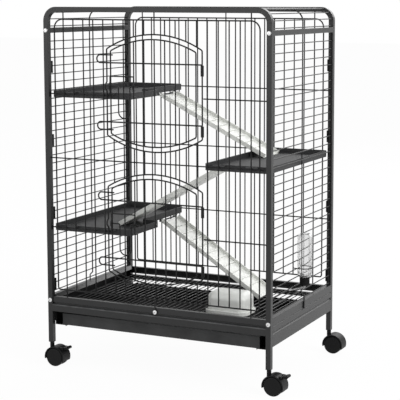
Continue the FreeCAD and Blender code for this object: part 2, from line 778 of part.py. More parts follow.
def build_bolt(left, near, height, low):
    """A bolt of round wire, bent down in the middle to make its handle."""
    tip = left - s.latch_tip
    grip = left + s.handle_left
    spots = [(tip, height), (grip, height), (grip, low), (grip + s.handle_width, low),
             (grip + s.handle_width, height), (near + s.bolt_tail, height)]
    bow = s.handle_width / 2 * 0.98
    bends = [s.latch_bend, s.latch_bend, bow, bow, s.latch_bend, s.latch_bend]
    return shape_part(Part.makeCompound(wire_bars([(x, -bolt_y, z) for x, z in spots], bends, s.latch_wire)))


def build_staple(left, near, height):
    """A bent wire on the door whose two bulges guide the bolt."""
    front = door_y + s.door_wire / 2 + s.latch_wire / 2
    out = bolt_y + s.latch_wire + s.slide_gap
    low, high = height - s.staple_tail, height + s.staple_bar
    left_leg = [(left, y, z) for y, z in bulge(-front, -out, height)]
    right_leg = [(near, y, z) for y, z in bulge(-front, -out, height)]
    spots = [(left, -front, low)] + left_leg + [(left, -front, high), (near, -front, high)]
    spots += right_leg[::-1] + [(near, -front, low), (near, -door_upright_y, low)]
    bends = [s.bulge_half_height / 2] * len(spots)
    return shape_part(Part.makeCompound(wire_bars(spots, bends, s.latch_wire)))


# Shelves
def shelf_outline(inside, outside, notch):
    """Plan of a shelf, with a step back at the rear where a ramp hangs."""
    deep = shelf_half_depth
    if notch is None:
        return rectangle(inside, -deep, outside, deep)
    return [(outside, -deep), (inside, -deep), (inside, -s.notch_start), (notch, -s.notch_start),
            (notch, deep), (outside, deep)]


def hang_place(edge, way, level):
    """Where a ramp's bar lies under the edge of its shelf."""
    return edge - s.hang_inset * way, level - s.shelf_below_wire - s.hang_drop


def hang_bar(edge, way, offset, level):
    """The bar a ramp hooks on, and the posts that join its ends to the shelf."""
    x, z = hang_place(edge, way, level)
    half = s.ramp_width / 2 + s.hang_post
    low = z - s.hang_radius
    rise = s.hang_radius + s.hang_drop + s.shelf_wall / 2
    members = [rod((x, offset - half, z), "y", half * 2, s.hang_radius * 2)]
    for near in (offset - half, offset + half - s.hang_post):
        members.append(block((x - s.hang_radius, near, low), s.hang_radius * 2, s.hang_post, rise))
    return members


def build_shelf(label, level, inside, outside, offset, notch=None):
    """A moulded shelf with a lip all round, hung by tabs on the wires of its level."""
    body = new_body()
    outline = shelf_outline(inside, outside, notch)
    base = pad(body, "XY_Plane", [outline], s.shelf_below_wire + s.shelf_above_wire)
    DOC.recompute()
    base = fillet(body, base, edges_along(base.Shape, "z"), s.shelf_corner)
    hollow(body, base, AXES["z"], s.shelf_wall)
    seat = s.shelf_below_wire + s.panel_wire / 2
    narrow = outside if notch is None else notch
    tabs = []
    for end in ENDS.values():
        outer = (level_y + s.panel_wire / 2) * end
        for share in (0.25, 0.75):
            edge = inside if end < 0 or notch is None else narrow
            middle = edge + (outside - edge) * share
            start = (middle - s.shelf_hook_length / 2, middle + s.shelf_hook_length / 2)
            tabs.append([(start[0], shelf_half_depth * end), (start[1], shelf_half_depth * end),
                         (start[1], outer), (start[0], outer)])
    body.Label = f"{label}_tray"
    place(body, 0, 0, level - s.shelf_below_wire)
    bar = hang_bar(inside, -1, offset, level) if notch is None else hang_bar(notch, 1, offset, level)
    members = [body] + bar
    for tab in tabs:
        hook = new_body()
        pad(hook, "XY_Plane", [tab], s.shelf_hook)
        members.append(place(hook, 0, 0, level - s.shelf_below_wire + seat))
    fused = DOC.addObject("Part::MultiFuse", "Shelf")
    fused.Shapes = members
    keep(fused, label)


def build_shelves():
    wall = side_edge_x - s.side_edge_wire / 2 - s.shelf_side_gap
    left = -wall + s.left_shelf_width
    notch = left - s.shelf_notch
    build_shelf("upper_shelf", upper_level, left, -wall, s.rear_ramp_offset, notch)
    build_shelf("lower_shelf", lower_level, left, -wall, s.lower_ramp_offset, notch)
    build_shelf("middle_shelf", middle_level, wall - s.right_shelf_width, wall, s.middle_ramp_offset)


# Ramps
def ramp_drop(level, landing):
    return level - s.ramp_start_drop - landing - s.slide_gap


def build_ramp(name, shelf_edge, way, offset, level, landing, length):
    """A ribbed board that hooks on the bar under a shelf and rests on the floor below it."""
    sine = ramp_drop(level, landing) / length
    cosine = (as_size(1) - sine * sine).root()
    start_x = shelf_edge + s.slide_gap * way
    start_z = level - s.ramp_start_drop
    board = ramp_board(way, length)
    board.setExpression("Placement.Rotation.Angle", f"asin({sine.text}) * {way}")
    place(board, start_x, offset, start_z)
    hang_x, hang_z = hang_place(shelf_edge, way, level)
    inner = s.hang_radius + s.slide_gap
    outer = inner + s.ramp_hook
    over = [polar(outer, turn) for turn in range(20, 201, 15)]
    under = [polar(inner, turn) for turn in range(200, -41, -15)]
    outline = [(start_x, start_z),
               (start_x + s.ramp_board * sine * way, start_z + s.ramp_board * cosine)]
    outline += [(hang_x + away * way, hang_z + up) for away, up in over + under]
    inset = s.ramp_width / 2 - s.hook_inset
    hooks = [hook_plate(outline, offset - inset), hook_plate(outline, offset + inset)]
    group(f"{name}_ramp", [board] + hooks)


def hook_plate(outline, offset):
    body = new_body()
    pad(body, "XZ_Plane", [outline], s.hook_width).Midplane = True
    return place(body, 0, offset, 0)


def ramp_board(way, length):
    """The board lies flat here, from its hook at the origin to its foot."""
    half = s.ramp_width / 2
    reach = length * way
    body = new_body()
    pad(body, "XY_Plane", [rectangle(0, -half, reach, half)], s.ramp_board)
    inner = half - s.ramp_lip_wall
    for low, high in ((-half, -inner), (inner, half)):
        pad(body, "XY_Plane", [rectangle(0, low, reach, high)], s.ramp_lip)
    first = s.tread_pitch * way
    tread = pad(body, "XY_Plane", [rectangle(first, -inner, first + s.tread_depth * way, inner)],
                s.ramp_board + s.tread_height)
    count = int(length.value / s.tread_pitch.value) - 1
    row = body.newObject("PartDesign::LinearPattern", "Treads")
    row.Originals = [tread]
    row.Direction = (tread.Profile[0], ["H_Axis"])
    row.Reversed = way < 0
    row.Occurrences = count
    bind(row, "Length", s.tread_pitch * (count - 1))
    body.Tip = row
    body.Placement = FreeCAD.Placement(V(), FreeCAD.Rotation(AXES["y"], 1))
    return body


def build_ramps():
    wall = side_edge_x - s.side_edge_wire / 2 - s.shelf_side_gap
    left_edge = -wall + s.left_shelf_width - s.shelf_notch
    right_edge = wall - s.right_shelf_width
    middle_floor = middle_level - s.shelf_below_wire + s.shelf_wall
    lower_floor = lower_level - s.shelf_below_wire + s.shelf_wall
    run = right_edge - left_edge + s.ramp_overlap
    drop = ramp_drop(upper_level, middle_floor)
    length = (run * run + drop * drop).root()
    build_ramp("upper", left_edge, 1, s.rear_ramp_offset, upper_level, middle_floor, length)
    build_ramp("middle", right_edge, -1, s.middle_ramp_offset, middle_level, lower_floor, length)
    build_ramp("lower", left_edge, 1, s.lower_ramp_offset, lower_level, grate_top, length)


# Hideout
def rounded(half_x, half_y, radius):
    """A rectangle about the origin whose corners are rounded in short steps."""
    corners = []
    for sign_x, sign_y, first in ((1, 1, 0), (-1, 1, 90), (-1, -1, 180), (1, -1, 270)):
        for step in range(0, 91, 18):
            away, up = polar(radius, first + step)
            corners.append(((half_x - radius) * sign_x + away, (half_y - radius) * sign_y + up))
    return corners


def build_hideout():
    """A moulded hut with a foot all round and a doorway on its left side."""
    long, deep = s.hide_width / 2, s.hide_depth / 2
    wide, thick = long - s.hide_flange, deep - s.hide_flange
    body = new_body()
    base = pad(body, "XY_Plane", [rectangle(-wide, -thick, wide, thick)], s.hide_height)
    DOC.recompute()
    top = face_towards(base.Shape, AXES["z"])
    base = fillet(body, base, edges_along(base.Shape, "z") + [top], s.hide_round)
    hollow(body, base, -AXES["z"], s.hide_wall)
    inside = rounded(wide - s.hide_wall, thick - s.hide_wall, s.hide_round - s.hide_wall)
    foot = rounded(long, deep, s.hide_round + s.hide_flange)
    pad(body, "XY_Plane", [foot, inside], s.hide_flange_height)
    half, corner = s.hide_door_width / 2, s.hide_door_corner
    doorway = [(-half, 0), (half, 0), (half, s.hide_door_height - corner),
               (half - corner, s.hide_door_height), (corner - half, s.hide_door_height),
               (-half, s.hide_door_height - corner)]
    gap = body.newObject("PartDesign::Pocket", "Doorway")
    gap.Profile = sketch_polygon(body, "YZ_Plane", [doorway])
    bind(gap, "Length", long)
    place(body, s.hide_left + long, deep - s.hide_front, grate_top)
    keep(body, "hideout")


# Water bottle
def build_bottle():
    low, high = bottle_low, hanger_z + s.bottle_rise
    body = new_body()
    wall = s.bottle_wall
    neck_low = low - s.neck_length
    shoulder = [(s.bottle_radius * out, low + s.bottle_shoulder * up) for out, up in SHOULDER_SHARES]
    outer = [(s.neck_radius, neck_low), (s.neck_radius, low)] + shoulder
    outer += [(s.bottle_radius, high - s.bottle_round), (s.bottle_radius - s.bottle_round, high), (0, high)]
    inner = [(0, high - wall), (s.bottle_radius - s.bottle_round - wall / 2, high - wall),
             (s.bottle_radius - wall, high - s.bottle_round - wall / 2)]
    inner += [(out - wall, up + wall) for out, up in reversed(shoulder)]
    inner += [(s.neck_radius - wall, low + wall), (s.neck_radius - wall, neck_low)]
    revolve(body, [outer + inner])
    keep(place(body, bottle_x, -s.bottle_offset, 0), "bottle_body")
    build_cap(neck_low)
    build_spout()
    build_hanger()


def build_cap(neck_low):
    """A screw cap whose floor has a hole for the spout."""
    high = bottle_low
    low = high - s.cap_height
    grip = s.cap_radius - s.cap_wall
    floor = neck_low - s.cap_wall
    outline = [(s.spout_radius, low), (grip, low), (s.cap_radius, low + s.cap_wall),
               (s.cap_radius, high), (s.neck_radius, high), (s.neck_radius, floor),
               (s.spout_radius, floor)]
    body = new_body()
    revolve(body, [outline])
    keep(place(body, bottle_x, -s.bottle_offset, 0), "bottle_cap")


def spout_points():
    top = bottle_low - s.cap_height
    knee = top - s.spout_drop
    y = -s.bottle_offset
    return [point(bottle_x, y, top + s.cap_wall * 2), point(bottle_x, y, knee),
            point(bottle_x - s.spout_reach, y, knee - s.spout_fall)]


def build_spout():
    """A bent steel tube with a ball held in its tip."""
    spots = spout_points()
    bore = (s.spout_radius - s.spout_wall).value
    section = round_section(s.spout_radius.value, bore)
    solids = bent(spots, [s.spout_bend.value] * len(spots), section)
    keep(shape_part(Part.makeCompound(solids)), "bottle_spout")
    ball = DOC.addObject("Part::Sphere", "Ball")
    bind(ball, "Radius", s.ball_radius)
    keep(ball, "bottle_ball")
    place(ball, bottle_x - s.spout_reach, -s.bottle_offset,
          bottle_low - s.cap_height - s.spout_drop - s.spout_fall)


def build_hanger():
    """A wire loop round the bottle, hooked behind the side panel's wires."""
    loop = s.bottle_radius + s.slide_gap + s.hanger_wire / 2
    hook_x = side_wire_x - s.side_wire / 2 - s.hanger_wire / 2
    near, far = -s.bottle_offset - loop, -s.bottle_offset + loop
    z = hanger_z
    spots = [(hook_x, near, z + s.hanger_hook), (hook_x, near, z), (bottle_x + loop, near, z),
             (bottle_x + loop, far, z), (hook_x, far, z), (hook_x, far, z + s.hanger_hook)]
    bow = loop * 0.98
    bends = [s.hanger_bend, s.hanger_bend, bow, bow, s.hanger_bend, s.hanger_bend]
    keep(shape_part(Part.makeCompound(wire_bars(spots, bends, s.hanger_wire))), "bottle_hanger")


# Screws
def screw(x, y, z, end):
    """A domed screw head that faces away from the cage's middle."""
    body = new_body()
    head, dome = s.screw_head, s.screw_dome
    outline = [(0, 0), (head, 0), (head * 0.92, dome * 0.5), (head * 0.6, dome * 0.9), (0, dome)]
    revolve(body, [outline])
    body.Placement = FreeCAD.Placement(V(), FreeCAD.Rotation(AXES["z"], AXES["y"] * end))
    return place(body, x, y, z)


def build_screws():
    members = []
    for end in ENDS.values():
        for side in SIDES.values():
            for height in (s.rail_top - s.base_screw_drop, top_rail_z):
                members.append(screw(post_x * side, half_depth * end, height, end))
    reach = s.panel_wire + s.fit_gap
    members.append(screw(0, -rail_face - reach, eyelet_z, ENDS["front"]))
    members.append(rod((0, -rail_face - reach, eyelet_z), "y", reach, s.screw_shank * 2))
    group("frame_screws", members)


# Casters
def build_casters():
    sockets, stems = [], []
    bore = s.tube_width - s.tube_wall * 2
    for end_name, end in ENDS.items():
        for side_name, side in SIDES.items():
            x, y = post_x * side, post_y * end
            plug = block((x - bore / 2, y - bore / 2, s.leg_bottom), bore, bore, s.socket_depth)
            flange_start = (x - s.tube_width / 2, y - s.tube_width / 2, s.leg_bottom - s.socket_flange)
            flange = block(flange_start, s.tube_width, s.tube_width, s.socket_flange)
            socket = DOC.addObject("Part::Fuse", "Socket")
            socket.Base = plug
            socket.Tool = flange
            flange_low = s.leg_bottom - s.socket_flange
            hole = rod((x, y, flange_low), "z", s.stem_depth + s.socket_flange, s.stem_radius * 2)
            sockets.append(cut(socket, hole))
            stems += caster_stem(x, y, flange_low)
            build_caster(f"{end_name}_{side_name}", x, y, end < 0)
    group("leg_sockets", sockets)
    group("caster_stems", stems)


def caster_stem(x, y, flange_low):
    """A pin up into the leg, and its collar between the socket and the caster."""
    collar_low = s.boss_high + s.slide_gap
    pin = rod((x, y, s.boss_low), "z", collar_low - s.boss_low, s.stem_radius * 2)
    collar = rod((x, y, collar_low), "z", flange_low - collar_low, s.stem_collar * 2)
    upper = rod((x, y, flange_low), "z", s.stem_depth + s.socket_flange, s.stem_radius * 2)
    return [pin, collar, upper]


def build_caster(name, x, y, braked):
    axle_x = x + s.caster_trail
    keep(caster_hood(axle_x, y, braked), f"{name}_caster_hood")
    half = s.fork_width / 2 + s.wheel_gap + s.wheel_width - s.hub_face - s.slide_gap
    keep(rod((axle_x, y - half, s.wheel_radius), "y", half * 2, s.axle_radius * 2), f"{name}_axle")
    wheels = [wheel(axle_x, y, side) for side in (-1, 1)]
    group(f"{name}_wheels", wheels)
    if braked:
        keep(brake_lever(axle_x, y), f"{name}_brake_lever")


def wheel(x, y, side):
    """A wheel with a rounded tread and a closed outer face."""
    body = new_body()
    radius, width, crown = s.wheel_radius, s.wheel_width, s.wheel_crown
    bore = s.axle_radius + s.run_clearance
    outline = [(bore, 0), (radius - crown, 0), (radius, crown), (radius, width - crown),
               (radius - crown * 0.3, width - crown * 0.3), (radius - crown, width), (0, width),
               (0, width - s.hub_face), (bore, width - s.hub_face)]
    revolve(body, [outline])
    body.Placement = FreeCAD.Placement(V(), FreeCAD.Rotation(AXES["z"], AXES["y"] * side))
    return place(body, x, y + (s.fork_width / 2 + s.wheel_gap) * side, radius)


def polar(radius, degrees):
    turn = math.radians(degrees)
    return radius * math.cos(turn), radius * math.sin(turn)


def hood_outline():
    """A curved cover over the wheels, low at the front and at the back."""
    inner = s.wheel_radius + s.hood_gap
    outer = inner + s.hood_wall
    turns = range(-20, 191, 10)
    return [polar(outer, turn) for turn in turns] + [polar(inner, turn) for turn in reversed(turns)]


def fork_outline():
    """The web between the wheels, from the axle up into the cover."""
    middle = s.wheel_radius + s.hood_gap + s.hood_wall / 2
    low = -s.axle_radius * 2
    feet = [(-s.fork_radius, low), (s.fork_radius, low)]
    return feet + [polar(middle, turn) for turn in range(60, 151, 15)]


def caster_hood(x, y, braked):
    half = s.fork_width / 2 + s.wheel_gap + s.wheel_width
    cover = new_body()
    pad(cover, "XZ_Plane", [hood_outline()], half * 2).Midplane = True
    web = new_body()
    pad(web, "XZ_Plane", [fork_outline()], s.fork_width).Midplane = True
    stem_x = x - s.caster_trail
    pillar = rod((stem_x, y, s.wheel_radius), "z", s.boss_high - s.wheel_radius, s.boss_radius * 2)
    room = rod((x, y - half, s.wheel_radius), "y", half * 2, (s.wheel_radius + s.hood_gap) * 2)
    members = [place(cover, x, y, s.wheel_radius), place(web, x, y, s.wheel_radius), cut(pillar, room)]
    if braked:
        members += lever_lugs(x, y)
    whole = DOC.addObject("Part::MultiFuse", "Hood")
    whole.Shapes = members
    pin_depth = s.boss_high - s.boss_low + s.slide_gap
    bore = (s.stem_radius + s.run_clearance) * 2
    pin = rod((stem_x, y, s.boss_high - pin_depth), "z", pin_depth, bore)
    axle = rod((x, y - s.fork_width, s.wheel_radius), "y", s.fork_width * 2, s.axle_radius * 2)
    return cut(cut(whole, pin), axle)


def lever_place():
    """Where the brake lever turns, from the axle."""
    reach = s.wheel_radius + s.hood_gap + s.hood_wall + s.lever_gap + s.lever_radius
    return polar(reach, LEVER_TURN)


def lever_lugs(x, y):
    """Two lugs on the hood and the pin between them."""
    away, up = lever_place()
    members = []
    for side in (-1, 1):
        middle = (s.lever_width / 2 + s.lever_gap + s.lug_width / 2) * side
        start = (x + away, y + middle - s.lug_width / 2, s.wheel_radius + up)
        members.append(rod(start, "y", s.lug_width, s.lever_radius * 2))
        foot = (x + away - s.lever_radius * 2, start[1], start[2] - s.lever_radius)
        members.append(block(foot, s.lever_radius * 2, s.lug_width, s.lever_radius * 2))
    half = s.lever_width / 2 + s.lever_gap
    members.append(rod((x + away, y - half, s.wheel_radius + up), "y", half * 2, s.lever_pin * 2))
    return members


def brake_lever(x, y):
    """A tongue from its barrel on the hood to a thick rounded tip."""
    away, up = lever_place()
    z = s.wheel_radius + up
    half = s.lever_width / 2
    barrel = rod((x + away, y - half, z), "y", s.lever_width, s.lever_radius * 2)
    tip = rod((x + away + s.lever_length, y - half, z + s.lever_rise), "y", s.lever_width, s.lever_tip * 2)
    body = new_body()
    thick = s.lever_root / 2
    tip_low, tip_high = s.lever_rise - s.lever_tip, s.lever_rise + s.lever_tip
    tongue = [(0, -thick), (s.lever_length, tip_low), (s.lever_length, tip_high), (0, thick)]
    pad(body, "XZ_Plane", [tongue], s.lever_width).Midplane = True
    lever = DOC.addObject("Part::MultiFuse", "Lever")
    lever.Shapes = [barrel, tip, place(body, x + away, y, z)]
    bore = rod((x + away, y - half, z), "y", s.lever_width, (s.lever_pin + s.run_clearance) * 2)
    return cut(lever, bore)


build_frame()
build_base()
build_tray()
build_grate()
build_flat_panels()
build_side_panels()
build_top_panel()
build_clips()
for door_name, door_centre in DOORS.items():
    build_surround(door_name, door_centre)
    build_door(door_name, door_centre)
    build_latch(door_name, door_centre)
build_shelves()
build_ramps()
build_hideout()
build_bottle()
build_screws()
build_casters()
DOC.recompute()


# Check every object, then write each sub-part
faults = [o.Label for o in DOC.Objects if {"Invalid", "Error"} & set(o.State)]
faults += [p.Label for p in PARTS if p.Shape.isNull() or not p.Shape.isValid()]
if faults:
    raise RuntimeError("failed: " + ", ".join(faults))
os.makedirs("parts", exist_ok=True)
for sub_part in PARTS:
    sub_part.Shape.exportStep(f"parts/{sub_part.Label}.step")
print(len(PARTS), "sub-parts")
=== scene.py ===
import json
import math

import bmesh
import bpy
from mathutils import Matrix, Vector


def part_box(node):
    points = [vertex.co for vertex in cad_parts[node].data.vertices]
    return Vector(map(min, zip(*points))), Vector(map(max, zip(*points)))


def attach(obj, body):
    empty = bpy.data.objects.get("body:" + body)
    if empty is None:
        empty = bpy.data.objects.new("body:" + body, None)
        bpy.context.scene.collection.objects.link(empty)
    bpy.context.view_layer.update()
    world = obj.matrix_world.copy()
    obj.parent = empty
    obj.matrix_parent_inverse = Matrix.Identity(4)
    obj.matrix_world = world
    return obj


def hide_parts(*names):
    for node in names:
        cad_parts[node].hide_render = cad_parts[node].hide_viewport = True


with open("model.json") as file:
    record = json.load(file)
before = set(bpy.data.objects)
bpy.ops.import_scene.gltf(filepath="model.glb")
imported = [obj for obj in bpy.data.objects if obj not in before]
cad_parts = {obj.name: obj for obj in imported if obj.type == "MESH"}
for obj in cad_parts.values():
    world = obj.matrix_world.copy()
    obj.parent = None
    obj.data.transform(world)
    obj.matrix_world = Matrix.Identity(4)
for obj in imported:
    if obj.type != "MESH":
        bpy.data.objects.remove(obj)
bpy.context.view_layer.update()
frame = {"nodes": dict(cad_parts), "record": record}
NODES = frame["nodes"]
scene = bpy.context.scene


# Material helpers
def node_maker(tree):
    """A function that adds a node to a tree, with its inputs set or linked."""
    def add(kind, inputs=None, **settings):
        node = tree.nodes.new(kind)
        for key, value in settings.items():
            setattr(node, key, value)
        for key, value in (inputs or {}).items():
            if isinstance(value, bpy.types.NodeSocket):
                tree.links.new(value, node.inputs[key])
            else:
                node.inputs[key].default_value = value
        return node
    return add


def new_material(name):
    """A material with its shader, a maker of nodes and a function that links them."""
    material = bpy.data.materials.new(name)
    material.use_nodes = True
    tree = material.node_tree

    def link(source, target):
        tree.links.new(source, target)

    return material, tree.nodes["Principled BSDF"], node_maker(tree), link


def noise(add, place, scale, detail=3.0, roughness=0.55):
    return add("ShaderNodeTexNoise", {"Vector": place, "Scale": scale, "Detail": detail,
                                      "Roughness": roughness}).outputs["Fac"]


def spread(add, value, low, high, start=0.3, stop=0.7):
    """Maps a texture's middle range onto two values."""
    inputs = {"Value": value, "From Min": start, "From Max": stop, "To Min": low, "To Max": high}
    return add("ShaderNodeMapRange", inputs).outputs["Result"]


def tint(add, value, dark, light, start=0.3, stop=0.7):
    """Maps a texture's middle range onto two colours."""
    ramp = add("ShaderNodeValToRGB", {"Fac": value})
    for stop_at, element, colour in zip((start, stop), ramp.color_ramp.elements, (dark, light)):
        element.position = stop_at
        element.color = (*colour, 1.0)
    return ramp.outputs["Color"]


def shade(colour, factor):
    return tuple(c * factor for c in colour)


GLOSS_DRIFT = 0.15


def painted_shade_behind_front(add, place, limit, front, rest):
    """One colour in front of a plane across the object and another behind it: painted shade behind the tray's
    front.
    """
    depth = add("ShaderNodeSeparateXYZ", {"Vector": place}).outputs["Y"]
    ahead = add("ShaderNodeMath", {0: depth, 1: limit}, operation="LESS_THAN").outputs["Value"]
    return add("ShaderNodeMix", {0: ahead, 6: rest, 7: front}, data_type="RGBA").outputs[2]


def surface(name, colour, rough, contrast=0.12, patch=14, grain=700, depth=0.0001, strength=0.25, edge=0.0,
            front=None, **constants):
    """A coated or moulded finish: slow colour drift, uneven gloss, a fine grain and soft edges."""
    material, shader, add, link = new_material(name)
    place = add("ShaderNodeTexCoord").outputs["Object"]
    drift = noise(add, place, patch)
    tone = tint(add, drift, shade(colour, 1 - contrast), shade(colour, 1 + contrast))
    # With a front plane, only the part ahead of it gets the lighter colour; the darker rest is painted shade.
    if front:
        limit, bright = front
        bright_tone = tint(add, drift, shade(bright, 1 - contrast), shade(bright, 1 + contrast))
        tone = painted_shade_behind_front(add, place, limit, bright_tone, tone)
    link(tone, shader.inputs["Base Color"])
    speckle = noise(add, place, grain, detail=2.0)
    gloss = spread(add, speckle, rough * (1 - GLOSS_DRIFT), rough * (1 + GLOSS_DRIFT))
    link(gloss, shader.inputs["Roughness"])
    bump = add("ShaderNodeBump", {"Height": speckle, "Distance": depth, "Strength": strength})
    if edge:
        link(add("ShaderNodeBevel", {"Radius": edge}, samples=6).outputs["Normal"], bump.inputs["Normal"])
    link(bump.outputs["Normal"], shader.inputs["Normal"])
    for key, value in constants.items():
        shader.inputs[key.replace("_", " ")].default_value = value
    return material


EVEN = (1.0, 1.0, 1.0)
MATERIALS = {
    "frame_coat": surface("frame_coat", (0.0135, 0.0137, 0.0140), 0.32, grain=900, edge=0.0016,
                          Specular_IOR_Level=0.33),
    # A lighter copy of the frame coat for the rail step's edge: a painted highlight.
    "rail_edge_painted_highlight": surface("rail_edge_painted_highlight", (0.062, 0.063, 0.064), 0.34, contrast=0.45, patch=30, grain=900,
                         Specular_IOR_Level=0.33),
    # A lighter copy of the wire coat for the floor grate's wires: a painted highlight on their lit tops.
    "grate_painted_highlight": surface("grate_painted_highlight", (0.030, 0.0304, 0.031), 0.40, grain=1200,
                          Specular_IOR_Level=0.4),
    "wire_coat": surface("wire_coat", (0.0055, 0.0056, 0.0058), 0.38, grain=1200,
                         Specular_IOR_Level=0.2),
    # The tray's inside is near black as painted shade; only its front plate, ahead of y = -0.2424, has the
    # coat's lighter colour.
    "tray_coat": surface("tray_coat", (0.0045, 0.0045, 0.0046), 0.55, contrast=0.2, grain=900, edge=0.0012,
                         front=(-0.2424, (0.041, 0.0415, 0.042)), Specular_IOR_Level=0.1),
    "screw_zinc": surface("screw_zinc", (0.68, 0.68, 0.68), 0.24, contrast=0.08, Metallic=1.0),
    "bright_steel": surface("bright_steel", (0.25, 0.25, 0.25), 0.30, contrast=0.08, Metallic=1.0),
    "black_plastic": surface("black_plastic", (0.0035, 0.0035, 0.0037), 0.5, grain=1500,
                             Specular_IOR_Level=0.12),
    "shelf_plastic": surface("shelf_plastic", (0.022, 0.0224, 0.0235), 0.55, grain=500, depth=0.0002,
                             edge=0.0018, Specular_IOR_Level=0.35),
    "ramp_plastic": surface("ramp_plastic", (0.67, 0.68, 0.65), 0.38, contrast=0.06, edge=0.0015,
                            Subsurface_Weight=0.15, Subsurface_Scale=0.006, Subsurface_Radius=EVEN),
    "hut_plastic": surface("hut_plastic", (0.68, 0.69, 0.665), 0.36, contrast=0.05, Subsurface_Weight=0.15,
                           Subsurface_Scale=0.006, Subsurface_Radius=EVEN),
    "clear_plastic": surface("clear_plastic", (0.87, 0.87, 0.87), 0.05, contrast=0.02,
                             Transmission_Weight=1.0,
                             IOR=1.45),
    "caster_plastic": surface("caster_plastic", (0.0035, 0.0035, 0.0037), 0.42, grain=1000,
                              Specular_IOR_Level=0.15),
    "caster_tread": surface("caster_tread", (0.0035, 0.0035, 0.0037), 0.5, grain=1000,
                            Specular_IOR_Level=0.15),
}
for entry in frame["record"]["subparts"]:
    node = NODES[entry["node"]]
    node.data.materials.clear()
    node.data.materials.append(MATERIALS[entry["material_slot"]])


# Small details
def piece_of(name, shape, slot, body, material=None):
    """A piece of the object, made from a shape, that rides on a body."""
    mesh = bpy.data.meshes.new(name)
    shape.to_mesh(mesh)
    shape.free()
    mesh.materials.append(material or MATERIALS[slot])
    piece = bpy.data.objects.new(name, mesh)
    scene.collection.objects.link(piece)
    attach(piece, body)
    return piece


def prism(shape, outline, depth):
    """A closed solid from a flat outline, pushed along one direction."""
    face = shape.faces.new([shape.verts.new(corner) for corner in outline])
    moved = bmesh.ops.extrude_face_region(shape, geom=[face])["geom"]
    bmesh.ops.translate(shape, vec=depth, verts=[v for v in moved if isinstance(v, bmesh.types.BMVert)])
    bmesh.ops.recalc_face_normals(shape, faces=shape.faces)


def cross_outline(x, y, z, arm, half):
    """A flat upright cross, seen from the front."""
    quarter = [(half, arm), (half, half), (arm, half)]
    corners = quarter + [(a, -b) for a, b in reversed(quarter)]
    corners += [(-a, -b) for a, b in quarter] + [(-a, b) for a, b in reversed(quarter)]
    return [Vector((x + a, y, z + b)) for a, b in corners]


def rib_outline(base, out, side, half, tip_half, height):
    """The section of a tapered rib that stands on a round surface."""
    tip = base + out * height
    return [base - side * half, tip - side * tip_half, tip + side * tip_half, base + side * half]


def wire(shape, start, end, radius, sides=12, tip=0.0005):
    """A straight round wire with eased ends."""
    along = (end - start).normalized()
    across = along.orthogonal().normalized()
    beside = along.cross(across)
    turns = [math.tau * k / sides for k in range(sides)]
    circle = [across * math.cos(turn) + beside * math.sin(turn) for turn in turns]
    ease = along * tip
    stations = ((start, radius - tip), (start + ease, radius), (end - ease, radius), (end, radius - tip))
    rings = [[shape.verts.new(place + out * size) for out in circle] for place, size in stations]
    for first, second in zip(rings, rings[1:]):
        for k in range(sides):
            shape.faces.new((first[k], first[k - 1], second[k - 1], second[k])).smooth = True
    shape.faces.new(rings[0])
    shape.faces.new(rings[-1])


def build_grate():
    """The floor grate: round wires from front to back, welded on cross bars."""
    low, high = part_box("floor_grate")
    wire_radius, bar_radius, bar_inset, wires_a_side = 0.0015, 0.002, 0.004, 20
    # The wire under the lower ramp's foot sets the pitch
    foot_wire, foot_count = 0.195, 10.5
    pitch = foot_wire / foot_count
    shape = bmesh.new()
    for k in range(-wires_a_side, wires_a_side):
        x = (k + 0.5) * pitch
        z = high[2] - wire_radius
        wire(shape, Vector((x, low[1], z)), Vector((x, high[1], z)), wire_radius)
    for share in (-1, -0.5, 0, 0.5, 1):
        y = (high[1] - bar_inset) * share
        z = low[2] + bar_radius
        wire(shape, Vector((low[0], y, z)), Vector((high[0], y, z)), bar_radius)
    bmesh.ops.recalc_face_normals(shape, faces=shape.faces)
    # The grate's wires take the lighter copy of the wire coat: a painted highlight.
    grate = piece_of("grate_wires", shape, "wire_coat", "cage", MATERIALS["grate_painted_highlight"])
    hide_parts("floor_grate")


def build_rail_step_highlight():
    """A lighter strip along the upper edge of the front rail's step: a painted highlight."""
    low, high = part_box("front_base_rail")
    section = [(-0.0002, 0.1976), (-0.0002, 0.1992), (0.0032, 0.2011), (0.0036, 0.1999), (0.0010, 0.1976)]
    inset = 0.0004
    length = high[0] - low[0] - 2 * inset
    shape = bmesh.new()
    prism(shape, [Vector((low[0] + inset, low[1] + y, z)) for y, z in section], Vector((length, 0, 0)))
    piece_of("rail_step_highlight", shape, "frame_coat", "cage", MATERIALS["rail_edge_painted_highlight"])


def build_screw_slots():
    """The cross slots in the screw heads, as thin black crosses: the slot shapes are real, their black is
    painted shade.
    """
    low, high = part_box("frame_screws")
    inset, foot_rise, head_face = 0.007, 0.0015, 0.2645
    arm, half, depth, proud = 0.0019, 0.0004, 0.0004, 0.00004
    heights = (low[2] + inset + foot_rise, high[2] - inset)
    places = [(x, z) for x in (low[0] + inset, high[0] - inset) for z in heights]
    shape = bmesh.new()
    for way in (-1, 1):
        for x, z in places:
            outline = cross_outline(x, (head_face + proud) * way, z, arm, half)
            prism(shape, outline, Vector((0, -depth * way, 0)))
    outline = cross_outline(0, low[1] - proud, low[2] + inset, arm, half)
    prism(shape, outline, Vector((0, depth, 0)))
    # Black for the slots: painted shade in the recesses.
    piece_of("screw_slots", shape, "screw_zinc", "cage", MATERIALS["black_plastic"])


